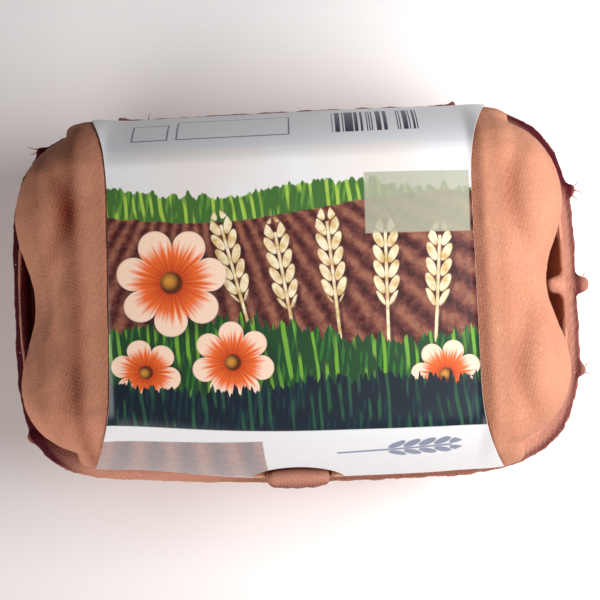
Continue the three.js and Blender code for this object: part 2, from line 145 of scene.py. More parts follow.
PULP_CLOUD = 14.0
FIBRE_BEND = 1.4
FIBRE_BEND_SIZE = 1.6
FIBRE_SIZE = 0.75
FIBRE_TONES = (0.86, 1.12)
WAVE_PERIOD = 0.314
WIRE_PITCH = 0.72
WIRE_TURN = (0.7, 0.3, 0.6)
WIRE_IN_HOLLOWS = 1.1
WIRE_EVERYWHERE = 0.16
WIRE_TONE = 0.45
WIRE_RELIEF = -1.2
SPECK_STRENGTH = 0.6
PULP_SPECKS = (
    (2.6, 0.11, 0.3, "#8E5642"),
    (4.8, 0.08, 0.2, "#5E3C32"),
    (3.4, 0.09, 0.22, "#E0BCA0"),
)
VOXEL = 0.00085
SMOOTHING_ROUNDS = 4
MM = 0.001
PART_SHIFT_MM = Vector((-1.35, -0.108, 0.0))
RIM_HALF_LENGTH = 75.0
RIM_HALF_WIDTH = 49.6
RIM_POWER_X = 6.0
RIM_POWER_Y = 3.8
RIM_EDGE_MM = 12.8
RAGGED_FROM = 1.6
RAGGED_SCALES = ((4.2, 0.4), (1.6, 0.3))
RAGGED_LEFT = 0.45
RAGGED_GROWS = (-60.0, 30.0)
# Painted shade on the tray: in the left channel that the lid shades, along the torn edge, on the
# outer right rim, at the back right corner and at the cups' feet
RIM_TOP = (35.0, 37.2)
CHANNEL_X = (54.0, 70.0)
CHANNEL_EDGE = (-0.4, 0.6)
TORN_AT = 0.6
TORN_SPREAD_OUT = 1.0
TORN_SPREAD_IN = 0.8
TORN_EDGE_SHADE = 0.6
RIGHT_RIM_X = (54.0, 66.0)
RIGHT_RIM_EDGE = (3.0, 3.8)
RIGHT_RIM_SHADE = 0.34
BACK_CORNER_X = (46.0, 58.0)
BACK_CORNER_Y = (20.0, 30.0)
BACK_CORNER_SHADE = 0.45
CUP_FOOT_SPREAD = 5.0
CUP_FOOT_SHADE = 0.25
RIDGES = (
    ((-71.6, -19.0), (-72.4, -8.0), (-72.6, 4.0), (-72.1, 14.0), (-71.2, 21.0)),
    ((70.3, -21.0), (70.8, -12.0), (71.0, 0.0), (70.8, 12.0), (70.2, 22.0)),
)
RIDGE_RADIUS = 0.55
RIDGE_HEIGHT = 38.35
RIDGE_STEPS = 6
RIDGE_LUMP = 2.5
FIBRES = (
    ((75.2, 24.4), -48, 3.4),
    ((75.4, 25.6), 25, 1.6),
    ((74.6, 23.0), -70, 2.4),
    ((75.6, -22.0), 25, 1.6),
    ((75.4, -23.8), -40, 2.1),
    ((76.2, 1.6), 35, 1.6),
    ((-66.2, 42.2), 155, 3.0),
    ((-66.6, 41.6), 190, 2.2),
    ((-36.6, 48.4), 65, 2.0),
)
FIBRE_RADIUS = 0.16
FIBRE_TAPER = 1.25
FIBRE_HEIGHT = 37.5
FIBRE_STEPS = 5
FIBRE_LIFT = 0.9
FIBRE_CURL = 0.22
FIBRE_BOW = 2.4


def show_as(name, mesh, node):
    """Shows a finished mesh as a piece that rides on the carton and stands for a CAD node."""
    piece = bpy.data.objects.new(name, mesh)
    bpy.context.scene.collection.objects.link(piece)
    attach(piece, "root")
    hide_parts(node)


def with_modifiers_applied(name, mesh, *modifiers):
    """A new mesh made from a mesh by modifiers, each given as its kind and its settings."""
    raw = bpy.data.objects.new(name, mesh)
    bpy.context.scene.collection.objects.link(raw)
    for kind, settings in modifiers:
        modifier = raw.modifiers.new(kind.lower(), kind)
        for setting, value in settings.items():
            setattr(modifier, setting, value)
    graph = bpy.context.evaluated_depsgraph_get()
    made = bpy.data.meshes.new_from_object(raw.evaluated_get(graph))
    bpy.data.objects.remove(raw)
    return made


def felted(bm, coarse_mm, coarse_height_mm, fine_mm, fine_height_mm, seed):
    """Raises and lowers a surface as wet pulp dries: soft lumps and the finer felt on them."""
    bm.normal_update()
    offset = Vector((seed, 0.37 * seed, 0.71 * seed))
    moves = []
    for vertex in bm.verts:
        coarse = noise.noise(vertex.co / (coarse_mm * MM) + offset)
        fine = noise.noise(vertex.co / (fine_mm * MM) - offset)
        height = (coarse * coarse_height_mm + fine * fine_height_mm) * MM
        moves.append(vertex.normal * height)
    for vertex, move in zip(bm.verts, moves):
        vertex.co += move
        vertex.co.z = max(vertex.co.z, 0.0)


def over(material, ground, mask, ink):
    """What is printed so far with an ink laid over it where the mask is 1."""
    return add_node(material, "ShaderNodeMix", {
        0: mask,
        6: ground,
        7: ink,
    }, data_type="RGBA").outputs[2]


def only_where(material, mask, other):
    """Where two masks meet."""
    return add_node(material, "ShaderNodeMath", {0: mask, 1: other}, operation="MULTIPLY").outputs[0]


def moulded_pulp(name, dark, pale, shade_and_wire_colour):
    """Moulded pulp dyed terracotta: dull and uneven, with felted fibres, specks of waste paper and
    painted shade.
    """
    material = new_material(name)
    place = add_node(material, "ShaderNodeTexCoord").outputs["Object"]
    clouds = add_node(material, "ShaderNodeTexNoise", {
        "Vector": place,
        "Scale": 1 / (PULP_CLOUD * MM),
        "Detail": 3.0,
    })
    tone = add_node(material, "ShaderNodeMix", {
        0: clouds.outputs["Fac"],
        6: linear(dark),
        7: linear(pale),
    }, data_type="RGBA").outputs[2]

    # Painted shade: a deeper colour laid where the painted_shade attribute marks creases and other
    # shaded places
    painted_shade = add_node(material, "ShaderNodeAttribute", attribute_name="painted_shade").outputs["Fac"]
    tone = over(material, tone, painted_shade, linear(shade_and_wire_colour))

    # Felted fibres, about 1 mm long, a little paler or darker than their bed
    bent = add_node(material, "ShaderNodeTexNoise", {
        "Vector": place,
        "Scale": 1 / (FIBRE_BEND_SIZE * MM),
        "Detail": 2.0,
    })
    bent_place = add_node(material, "ShaderNodeVectorMath", {
        0: bent.outputs["Color"],
        1: (FIBRE_BEND * MM,) * 3,
        2: place,
    }, operation="MULTIPLY_ADD").outputs[0]
    fibres = add_node(material, "ShaderNodeTexNoise", {
        "Vector": bent_place,
        "Scale": 1 / (FIBRE_SIZE * MM),
        "Detail": 3.0,
        "Roughness": 0.7,
    })
    fibre_light = add_node(material, "ShaderNodeMapRange", {
        "Value": fibres.outputs["Fac"],
        "From Min": 0.3,
        "From Max": 0.7,
        "To Min": FIBRE_TONES[0],
        "To Max": FIBRE_TONES[1],
    }).outputs[0]
    tone = add_node(material, "ShaderNodeVectorMath", {
        0: tone,
        "Scale": fibre_light,
    }, operation="SCALE").outputs[0]

    # Specks: dark flecks of printed waste and fewer pale ones, 0.6 to 0.8 mm across
    for cell_mm, size, share, colour in PULP_SPECKS:
        cells = add_node(material, "ShaderNodeTexVoronoi", {
            "Vector": bent_place,
            "Scale": 1 / (cell_mm * MM),
        })
        near = add_node(material, "ShaderNodeMapRange", {
            "Value": cells.outputs["Distance"],
            "From Min": size,
            "From Max": 0.6 * size,
        })
        draw = add_node(material, "ShaderNodeSeparateColor", {0: cells.outputs["Color"]})
        chosen = add_node(material, "ShaderNodeMath", {
            0: draw.outputs[0],
            1: share,
        }, operation="LESS_THAN")
        speck = only_where(material, near.outputs[0], chosen.outputs[0])
        tone = over(material, tone, only_where(material, speck, SPECK_STRENGTH), linear(colour))

    # The wire of the mould prints through, most in the hollows where the shade is painted, at about
    # 0.7 mm from wire to wire.
    # It is turned on all three axes, so that it runs over the walls as over the top.
    turned = add_node(material, "ShaderNodeMapping", {
        "Vector": place,
        "Rotation": WIRE_TURN,
    }).outputs[0]
    wires = [
        add_node(material, "ShaderNodeTexWave", {
            "Vector": turned,
            "Scale": WAVE_PERIOD / (WIRE_PITCH * MM),
        }, bands_direction=direction).outputs["Fac"]
        for direction in ("X", "Y")
    ]
    wire_depth = add_node(material, "ShaderNodeMath", {
        0: painted_shade,
        1: WIRE_IN_HOLLOWS,
        2: WIRE_EVERYWHERE,
    }, operation="MULTIPLY_ADD").outputs[0]
    wire_print = only_where(material, only_where(material, *wires), wire_depth)
    tone = over(material, tone, only_where(material, wire_print, WIRE_TONE), linear(shade_and_wire_colour))

    relief = add_node(material, "ShaderNodeMath", {
        0: wire_print,
        1: WIRE_RELIEF,
        2: fibres.outputs["Fac"],
    }, operation="MULTIPLY_ADD")
    grain = add_node(material, "ShaderNodeBump", {
        "Strength": 0.55,
        "Distance": 0.25 * MM,
        "Height": relief.outputs[0],
    })
    shader = add_node(material, "ShaderNodeBsdfPrincipled", {
        "Base Color": tone,
        "Roughness": 0.95,
        "Specular IOR Level": 0.15,
        "Normal": grain.outputs[0],
    })
    add_node(material, "ShaderNodeOutputMaterial", {"Surface": shader.outputs[0]})
    return material


def swell(distance, spread):
    """A smooth bump that is 1 at no distance and fades over the spread."""
    return math.exp(-((distance / spread) ** 2) / 2)


def eased(value, start, end):
    """Goes smoothly from 0 at the start to 1 at the end."""
    share = min(max((value - start) / (end - start), 0), 1)
    return share * share * (3 - 2 * share)


def from_rim_edge(x, y):
    """How far inside the edge of the tray's rim a point is, in millimetres."""
    filled = (abs(x) / RIM_HALF_LENGTH) ** RIM_POWER_X + (abs(y) / RIM_HALF_WIDTH) ** RIM_POWER_Y
    return (1 - filled) * RIM_EDGE_MM


def tray_painted_shade(x, y, z, edge):
    """How much painted shade a point gets: most in the left channel, which the lid shades, and on the
    torn edge.
    """
    on_top = eased(z, *RIM_TOP)
    # Painted shade in the left channel, which lies in the lid's shadow
    channel = eased(-x, *CHANNEL_X) * on_top * eased(edge, *CHANNEL_EDGE)
    # Painted shade along the torn outer edge of the rim
    torn_outside = swell(min(edge, TORN_AT) - TORN_AT, TORN_SPREAD_OUT)
    torn_inside = swell(max(edge - TORN_AT, 0), TORN_SPREAD_IN)
    torn = TORN_EDGE_SHADE * torn_outside * torn_inside * on_top
    # Painted shade on the outer band of the right rim
    right = RIGHT_RIM_SHADE * eased(x, *RIGHT_RIM_X) * (1 - eased(edge, *RIGHT_RIM_EDGE)) * on_top
    # Painted shade on the back right corner of the rim
    back = BACK_CORNER_SHADE * eased(x, *BACK_CORNER_X) * eased(y, *BACK_CORNER_Y) * on_top
    # Painted shade at the cups' feet, where they stand on the floor
    foot = CUP_FOOT_SHADE * swell(z, CUP_FOOT_SPREAD)
    return min(channel + torn + right + back + foot, 1.0)


def strand(bm, points, radii):
    """Adds a closed round strand through points in the carton's millimetres."""
    rings = []
    for index, (point, radius) in enumerate(zip(points, radii)):
        before = points[max(index - 1, 0)]
        after = points[min(index + 1, len(points) - 1)]
        turn = (after - before).to_track_quat("Z", "Y").to_matrix().to_4x4()
        made = bmesh.ops.create_circle(
            bm,
            cap_ends=index in (0, len(points) - 1),
            radius=radius * MM,
            segments=8,
            matrix=Matrix.Translation((point + PART_SHIFT_MM) * MM) @ turn,
        )
        rings.append(set(made["verts"]))
    for ring, following in zip(rings, rings[1:]):
        loops = {
            edge
            for around in (ring, following)
            for vertex in around
            for edge in vertex.link_edges
            if edge.other_vert(vertex) in around
        }
        bmesh.ops.bridge_loops(bm, edges=list(loops))
    skin = {face for ring in rings for vertex in ring for face in vertex.link_faces}
    bmesh.ops.recalc_face_normals(bm, faces=list(skin))


tray_bm = bmesh.new()
tray_bm.from_mesh(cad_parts["tray"].data)
bmesh.ops.remove_doubles(tray_bm, verts=tray_bm.verts, dist=1e-6)
tray_raw = bpy.data.meshes.new("tray_raw")
tray_bm.to_mesh(tray_raw)
tray_bm.free()
tray_mesh = with_modifiers_applied(
    "tray_raw",
    tray_raw,
    ("REMESH", {"mode": "VOXEL", "voxel_size": VOXEL, "use_smooth_shade": True}),
    ("SMOOTH", {"factor": 0.5, "iterations": SMOOTHING_ROUNDS}),
)
tray_bm = bmesh.new()
tray_bm.from_mesh(tray_mesh)
# Each point of the tray carries how much painted shade it gets
painted_shade_layer = tray_bm.verts.layers.float.new("painted_shade")
for vertex in tray_bm.verts:
    x, y, z = vertex.co / MM - PART_SHIFT_MM
    edge = from_rim_edge(x, y)
    vertex[painted_shade_layer] = tray_painted_shade(x, y, z, edge)
    torn = min(max((RAGGED_FROM - edge) / RAGGED_FROM, 0), 1) * MM
    torn *= RAGGED_LEFT + (1 - RAGGED_LEFT) * eased(x, *RAGGED_GROWS)
    for size_mm, reach_mm in RAGGED_SCALES:
        outwards = torn * reach_mm * noise.noise(Vector((x, y, z)) / size_mm)
        vertex.co += Vector((x, y, 0)).normalized() * outwards
felted(tray_bm, coarse_mm=5.0, coarse_height_mm=0.22, fine_mm=1.7, fine_height_mm=0.14, seed=3.1)

strands = bmesh.new()
for ridge in RIDGES:
    line = [Vector((x, y, RIDGE_HEIGHT)) for x, y in ridge]
    steps = [step / RIDGE_STEPS for step in range(RIDGE_STEPS)]
    fine = [a.lerp(b, share) for a, b in zip(line, line[1:]) for share in steps]
    radii = [RIDGE_RADIUS * (0.8 + 0.4 * noise.noise(point / RIDGE_LUMP)) for point in fine]
    strand(strands, fine, radii)
for (x, y), angle, length in FIBRES:
    start = Vector((x, y, FIBRE_HEIGHT))
    reach = Matrix.Rotation(math.radians(angle), 3, "Z") @ Vector((length, 0, 0))
    curl = Vector((-reach.y, reach.x, FIBRE_LIFT * length)) * FIBRE_CURL
    steps = [step / FIBRE_STEPS for step in range(FIBRE_STEPS + 1)]
    line = [start + reach * share + curl * math.sin(FIBRE_BOW * share) for share in steps]
    strand(strands, line, [FIBRE_RADIUS * (FIBRE_TAPER - share) for share in steps])
strand_mesh = bpy.data.meshes.new("strands")
strands.to_mesh(strand_mesh)
strands.free()
tray_bm.from_mesh(strand_mesh)
tray_bm.to_mesh(tray_mesh)
tray_bm.free()
for polygon in tray_mesh.polygons:
    polygon.use_smooth = True
# The last colour is that of the painted shade and of the wire marks
tray_pulp = moulded_pulp("moulded pulp, tray", "#BB806B", "#D29A82", "#4A101B")
tray_mesh.materials.append(tray_pulp)
show_as("pulp_tray", tray_mesh, "tray")


# The lid: a domed shell of the same pulp that lies inside the tray's rim. Two rounded lobes
# stand at each end with a waist between them, and a raised band runs along the label.

DENT_X = -45.0
DENT_DEPTH = 3.6
DENT_SPREAD = 18.0
LID_BASE = 38.8
LID_TOP = 68.2
MARGIN_FRONT = 1.8
MARGIN_BACK = 2.0
CORNER_FROM = 38.0
CORNER_TO = 56.0
CORNER_OUT_FRONT = {-1: 0.2, 1: 0.9}
CORNER_OUT_BACK = {-1: 2.2, 1: 1.0}
CORNER_CRISPNESS = 2.0
BAND_REACH = 57.5
BAND_CORNER = 2.5
BAND_BLEND = 1.0
LOBE_REACH = {-1: 71.6, 1: 70.6}
WAIST_REACH = {-1: 67.0, 1: 65.3}
LOBE_Y = 21.5
LOBE_ROOT_X = 50.0
LOBE_ROUND_FRONT = {-1: 17.6, 1: 19.2}
LOBE_ROUND_BACK = {-1: 22.0, 1: 20.8}
END_SHOULDER = 9.5
END_SHOULDER_POWER = 2.0
SIDE_SHOULDER = 16.0
SIDE_SHOULDER_POWER = 1.7
CREST_FOOT = 43.6
CREST_FROM = 47.6
CREST_TO = 51.0
CREST_END = 54.2
CREST_SOFTENED = 3.5
CREST_HEIGHT = 1.9
FALL_X = 51.0
FALL_SLOPE = 0.40
FALL_START = 2.5
LOBE_TOP_X = 59.5
LOBE_TOP_Y = 22.0
LOBE_HEIGHT = 3.4
LOBE_SPREAD_X = 4.0
LOBE_SPREAD_Y = 9.5
# Painted shade on the lid: in the crescents beside the lobes, on the crests' outer flanks, along the
# lid's foot at the tray and beside the label
CREASE_X = 54.0
LABEL_SIDE_X = 45.6
LABEL_SIDE_SPREAD = 1.2
LABEL_SIDE_SHADE = 0.25
CRESCENT_Y = 21.0
CRESCENT_BEND = 0.03
CRESCENT_SPREAD_X = 1.9
CRESCENT_SPREAD_Y = 7.5
CRESCENT_SHADE_FRONT = {-1: 0.4, 1: 0.36}
CRESCENT_SHADE_BACK = {-1: 0.8, 1: 0.36}
FLANK_X = 51.8
FLANK_SPREAD = 1.3
FLANK_SHADE = {-1: 0.36, 1: 0.06}
FOOT_SPREAD = 2.5
LID_FOOT_SHADE = 0.65
STRAIGHT_SHARE = 0.6
CROWDING = 2.1
LID_CELLS_X = 230
LID_CELLS_Y = 170
LOCK_X = -1.0
LOCK_HALF_WIDTH = 7.9
LOCK_CLEARANCE = 0.6
LOCK_FLOOR_Y = 42.4
ARCH_FOOT = 47.5
ARCH_TOP = 56.5
ARCH_HALF_WIDTH = 11.0
ARCH_STEPS = 16
CUTTER_PAST = 2.0
SHARP_FROM = 50


def rim_reach(x):
    """How far the tray's rim reaches to the front and back at x."""
    return RIM_HALF_WIDTH * (1 - (abs(x) / RIM_HALF_LENGTH) ** RIM_POWER_X) ** (1 / RIM_POWER_Y)


def side_reach(x, y):
    """How far the lid reaches at x, on the front or back side that y is on."""
    reach = rim_reach(min(abs(x), BAND_REACH))
    to_corner = eased(abs(x), CORNER_FROM, CORNER_TO)
    side = -1 if x < 0 else 1
    if y > 0:
        return reach - MARGIN_BACK + CORNER_OUT_BACK[side] * to_corner
    dent = DENT_DEPTH * swell(max(x, -BAND_REACH) - DENT_X, DENT_SPREAD)
    return reach - MARGIN_FRONT + CORNER_OUT_FRONT[side] * to_corner - dent


def end_reach(x, y):
    """How far the lid reaches at y, on the left or right end that x is on."""
    side = -1 if x < 0 else 1
    lobe = LOBE_REACH[side]
    away = abs(y)
    if away < LOBE_Y:
        waist = WAIST_REACH[side]
        return (lobe + waist) / 2 - (lobe - waist) / 2 * math.cos(math.pi * away / LOBE_Y)
    round_over = LOBE_ROUND_FRONT[side] if y < 0 else LOBE_ROUND_BACK[side]
    share = min((away - LOBE_Y) / round_over, 1)
    lobe_edge = LOBE_ROOT_X + (lobe - LOBE_ROOT_X) * math.sqrt(1 - share ** 2)
    into_corner = max(away - (side_reach(side * BAND_REACH, y) - BAND_CORNER), 0)
    corner_drop = BAND_CORNER - math.sqrt(max(BAND_CORNER ** 2 - into_corner ** 2, 0))
    band_edge = BAND_REACH - corner_drop
    return (lobe_edge + band_edge + math.hypot(lobe_edge - band_edge, BAND_BLEND)) / 2


def wall_rise(distance, shoulder, power):
    """Rises from 0 at the lid's edge to 1 where the wall has turned into the top."""
    share = min(max(1 - distance / shoulder, 0), 1)
    return (1 - share ** power) ** (1 / power)


def where_both_rise(a, b):
    """Two walls' rises as one: the lower of the two, rounded over where they meet."""
    if min(a, b) <= 0:
        return 0.0
    return (a ** -CORNER_CRISPNESS + b ** -CORNER_CRISPNESS - 1) ** (-1 / CORNER_CRISPNESS)


def top_height(x, y):
    """The height of the lid's top, with its crests beside the label and its lobes."""
    along_x = abs(x)
    beside_lobe = swell(abs(y) - LOBE_TOP_Y, LOBE_SPREAD_Y)
    crest_end = CREST_END + CREST_SOFTENED * (1 - beside_lobe)
    crest = eased(along_x, CREST_FOOT, CREST_FROM) * (1 - eased(along_x, CREST_TO, crest_end))
    fall = FALL_SLOPE * (math.hypot(max(along_x - FALL_X, 0), FALL_START) - FALL_START)
    lobe = LOBE_HEIGHT * beside_lobe * swell(along_x - LOBE_TOP_X, LOBE_SPREAD_X)
    return LID_TOP + CREST_HEIGHT * crest - fall + lobe


def lid_height(x, y):
    """The height of the lid's outer skin over a point, in millimetres."""
    end_wall = wall_rise(end_reach(x, y) - abs(x), END_SHOULDER, END_SHOULDER_POWER)
    side_wall = wall_rise(side_reach(x, y) - abs(y), SIDE_SHOULDER, SIDE_SHOULDER_POWER)
    return LID_BASE + (top_height(x, y) - LID_BASE) * where_both_rise(end_wall, side_wall)


def crowded(share):
    """A share from -1 to 1 moved towards both ends, where the walls curve."""
    return math.copysign(1 - (1 - abs(share)) ** CROWDING, share)


def lid_place(across, along):
    """The point of the lid's skin at two shares from -1 to 1, along X and along Y."""
    side = math.copysign(1, across)
    bend = crowded(max(abs(across) - STRAIGHT_SHARE, 0) / (1 - STRAIGHT_SHARE))
    straight_x = side * LOBE_ROOT_X * min(abs(across) / STRAIGHT_SHARE, 1)
    nominal_x = straight_x + side * (BAND_REACH - BAND_CORNER - LOBE_ROOT_X) * bend
    share = crowded(along)
    y = share * side_reach(nominal_x, share)
    x = straight_x + side * (end_reach(nominal_x, y) - LOBE_ROOT_X) * bend
    return Vector((x, y, lid_height(x, y)))


def into_part(bm):
    """Moves a shape from the carton's own millimetres into the part's frame, in metres."""
    bmesh.ops.translate(bm, verts=bm.verts, vec=PART_SHIFT_MM)
    bmesh.ops.scale(bm, verts=bm.verts, vec=(MM, MM, MM))


def lock_cutter(margin):
    """A solid that cuts the opening for the lock: a passage under a wider arch."""
    passage = LOCK_HALF_WIDTH + LOCK_CLEARANCE + margin
    half_width = ARCH_HALF_WIDTH + margin
    rise = ARCH_TOP + margin - ARCH_FOOT
    bottom = LID_BASE - CUTTER_PAST
    points = [(-passage, bottom), (passage, bottom), (passage, ARCH_FOOT)]
    for step in range(ARCH_STEPS + 1):
        angle = math.pi * step / ARCH_STEPS
        points.append((half_width * math.cos(angle), ARCH_FOOT + rise * math.sin(angle)))
    points.append((-passage, ARCH_FOOT))
    bm = bmesh.new()
    front = -RIM_HALF_WIDTH - CUTTER_PAST
    loop = [bm.verts.new((x + LOCK_X, front, z)) for x, z in points]
    face = bm.faces.new(loop)
    swept = bmesh.ops.extrude_face_region(bm, geom=[face])
    moved = [item for item in swept["geom"] if isinstance(item, bmesh.types.BMVert)]
    depth = RIM_HALF_WIDTH + CUTTER_PAST - LOCK_FLOOR_Y + margin
    bmesh.ops.translate(bm, verts=moved, vec=(0, depth, 0))
    bmesh.ops.recalc_face_normals(bm, faces=bm.faces)
    into_part(bm)
    mesh = bpy.data.meshes.new("lock_cutter")
    bm.to_mesh(mesh)
    bm.free()
    cutter = bpy.data.objects.new("lock_cutter", mesh)
    bpy.context.scene.collection.objects.link(cutter)
    cutter.hide_render = True
    return cutter


def cut_by(name, bm, cutter):
    """The mesh of a shape with the cutter's solid taken out of it."""
    mesh = bpy.data.meshes.new(name)
    bm.to_mesh(mesh)
    bm.free()
    settings = {"object": cutter, "operation": "DIFFERENCE", "solver": "EXACT"}
    made = with_modifiers_applied(name, mesh, ("BOOLEAN", settings))
    bpy.data.objects.remove(cutter)
    return made


def lid_painted_shade(x, y, z):
    """How much painted shade a point gets: most in the crescents beside the lobes."""
    side = -1 if x < 0 else 1
    # Painted shade in the crescents of the creases beside the lobes
    along = abs(y) - CRESCENT_Y
    across = abs(x) - CREASE_X - CRESCENT_BEND * along ** 2
    crescent = swell(across, CRESCENT_SPREAD_X) * swell(along, CRESCENT_SPREAD_Y)
    crescent *= CRESCENT_SHADE_FRONT[side] if y < 0 else CRESCENT_SHADE_BACK[side]
    # Painted shade on the outer flanks of the crests, mostly on the left, away from the window
    flank = FLANK_SHADE[side] * swell(abs(x) - FLANK_X, FLANK_SPREAD)
    # Painted shade along the lid's foot, where it meets the tray
    foot = LID_FOOT_SHADE * swell(z - LID_BASE, FOOT_SPREAD)
    # Painted shade on the strips beside the label
    label_side = LABEL_SIDE_SHADE * swell(abs(x) - LABEL_SIDE_X, LABEL_SIDE_SPREAD)
    return min(crescent + flank + foot + label_side, 1.0)


lid_bm = bmesh.new()
bmesh.ops.create_grid(lid_bm, x_segments=LID_CELLS_X, y_segments=LID_CELLS_Y, size=1.0)
# Each point of the lid carries how much painted shade it gets
painted_shade_layer = lid_bm.verts.layers.float.new("painted_shade")
for vertex in lid_bm.verts:
    vertex.co = lid_place(vertex.co.x, vertex.co.y)
    vertex[painted_shade_layer] = lid_painted_shade(*vertex.co)
into_part(lid_bm)
felted(lid_bm, coarse_mm=5.0, coarse_height_mm=0.22, fine_mm=1.7, fine_height_mm=0.12, seed=8.4)
lid_edge = [edge for edge in lid_bm.edges if edge.is_boundary]
bmesh.ops.contextual_create(lid_bm, geom=lid_edge)
for face in lid_bm.faces:
    face.smooth = len(face.verts) == 4
bmesh.ops.recalc_face_normals(lid_bm, faces=lid_bm.faces)
lid_mesh = cut_by("lid_raw", lid_bm, lock_cutter(0.0))
lid_mesh.set_sharp_from_angle(angle=math.radians(SHARP_FROM))
# The last colour is that of the painted shade and of the wire marks
lid_pulp = moulded_pulp("moulded pulp, lid", "#B77C60", "#C98F74", "#6A2413")
lid_mesh.materials.append(lid_pulp)
show_as("pulp_lid", lid_mesh, "lid")


# The label: a printed paper sleeve glued over the lid from above the lock to above the hinge,
# with the lock's arch cut out of its front edge.

LABEL_HALF_TOP = 44.5
LABEL_FLARE = 7.2
LABEL_FLARE_START = 20.0
LABEL_FLARE_LENGTH = 27.0
LABEL_FLARE_POWER = 3.2
LABEL_SKEW = 0.028
LABEL_CELLS_X = 130
LABEL_CELLS_Y = 150
LABEL_CROWDED = 0.83
LABEL_LIFT = 0.55
LABEL_WAVES = 0.14
LABEL_WAVE_X = 21
LABEL_WAVE_Y = 17
LABEL_WAVE_SEED = 5.3
LABEL_THICKNESS = 0.16
LABEL_EDGE_SHARE = 0.9755
LABEL_CUT_MARGIN = 0.7
SLOPE_STEP = 0.02
WRAP_STEPS = 60
PRINT_MAP = "print"
PRINT_SCALE = 0.01
BOX_BLUR = 0.12
HILL_BLUR = 0.2
EAR_BLUR = 0.1
TIP_LEAN = 0.35
TIP_STRETCH = 0.06
BLADE_STRETCH = 0.35
BLADE_BEND = 5.0
PATCH_SCALE = 0.28
PATCH_EDGE = (0.46, 0.56)
EAR_HEAD_HALF = 0.31
EAR_HEAD_WIDTH = 2.1
STALK_HALF = 0.45
GRAIN_FILL = 0.46
GRAIN_PITCH = 3.7
GRAIN_SLANT = 0.95
GRAIN_ASIDE = 1.75
GRAIN_HALF_WIDTH = 1.35
STALK_HALF_WIDTH = 0.35
EARS = (
    ((-9.0, -16.0), 103.0, 37.0),
    ((1.0, -18.0), 98.0, 36.0),
    ((11.5, -18.0), 94.0, 38.0),
    ((22.5, -18.0), 89.0, 35.0),
    ((33.5, -18.0), 85.0, 33.0),
)
FLOWERS = (
    ((-29.0, 3.0), 13.5, 7, 10.0),
    ((-15.0, -17.0), 10.0, 7, 40.0),
    ((-36.0, -19.5), 8.5, 6, 75.0),
    ((36.0, -22.0), 8.5, 7, 20.0),
)
PETAL_POWER = 0.45
PETAL_ROOT = 0.58
PETAL_DEPTH = 0.42
PETAL_STREAKS = 0.5
PRINTED_SHADOW = (0.9, -1.1)
SHADOW_STRENGTH = 0.55
ROWS_MEET_AT = (-22.0, 46.0)
ROWS_AROUND = 74
ROW_DEPTH = 0.2
DATE_BOX = ((31.0, 20.0), (12.6, 7.4))
STRIP_HALF_SIZES = (80.0, 30.0)
FRONT_STRIP_FROM = -34.0
BACK_STRIP_FROM = 35.5
STRIP_EARTH = ((-32.0, -48.6), (23.6, 10.6))
STRIP_EARTH_PALED = 0.3
SPRIG = ((9.0, -42.0), 3.0, 31.0)
BARS = ((22.5, 46.0), (11.0, 6.5))
BAR_CELL = 0.3
BARS_ABOVE = 0.48
EMPTY_BOXES = (
    ((-13.0, 45.0), (14.0, 5.5)),
    ((-33.5, 44.0), (4.5, 4.5)),
)
OUTLINE = 0.35


def label_half_width(y):
    """Half the label's width at y: it grows where the sleeve turns down the walls."""
    share = max(abs(y) - LABEL_FLARE_START, 0) / LABEL_FLARE_LENGTH
    return LABEL_HALF_TOP + LABEL_FLARE * share ** LABEL_FLARE_POWER


def label_place(across, along):
    """The point of the label's outer face at two shares from -1 to 1."""
    share = crowded(along * LABEL_CROWDED) * LABEL_EDGE_SHARE / crowded(LABEL_CROWDED)
    nominal_y = share * (RIM_HALF_WIDTH - MARGIN_FRONT)
    x = across * label_half_width(nominal_y) - LABEL_SKEW * nominal_y * min(across, 0)
    y = share * side_reach(x, share)
    rise_x = lid_height(x + SLOPE_STEP, y) - lid_height(x - SLOPE_STEP, y)
    rise_y = lid_height(x, y + SLOPE_STEP) - lid_height(x, y - SLOPE_STEP)
    slope_x = rise_x / (2 * SLOPE_STEP)
    slope_y = rise_y / (2 * SLOPE_STEP)
    outwards = Vector((-slope_x, -slope_y, 1)).normalized()
    wave_place = Vector((x / LABEL_WAVE_X, y / LABEL_WAVE_Y, LABEL_WAVE_SEED))
    waves = LABEL_WAVES * noise.noise(wave_place)
    return Vector((x, y, lid_height(x, y))) + outwards * (LABEL_LIFT + waves)


def wrap_distance(along):
    """How far a share along the label is from its middle, over the paper, in millimetres."""
    stations = [label_place(0.0, along * step / WRAP_STEPS) for step in range(WRAP_STEPS + 1)]
    distance = sum((b - a).length for a, b in zip(stations, stations[1:]))
    return math.copysign(distance, along)


label_bm = bmesh.new()
bmesh.ops.create_grid(label_bm, x_segments=LABEL_CELLS_X, y_segments=LABEL_CELLS_Y, size=1.0)
print_map = label_bm.loops.layers.uv.new(PRINT_MAP)
distances = {}
for vertex in label_bm.verts:
    across, along = vertex.co.x, vertex.co.y
    if along not in distances:
        distances[along] = wrap_distance(along)
    vertex.co = label_place(across, along)
    for loop in vertex.link_loops:
        loop[print_map].uv = (vertex.co.x * PRINT_SCALE, distances[along] * PRINT_SCALE)
into_part(label_bm)
bmesh.ops.recalc_face_normals(label_bm, faces=label_bm.faces)
for face in label_bm.faces:
    face.smooth = True
label_raw = bpy.data.meshes.new("label_raw")
label_bm.to_mesh(label_raw)
label_bm.free()


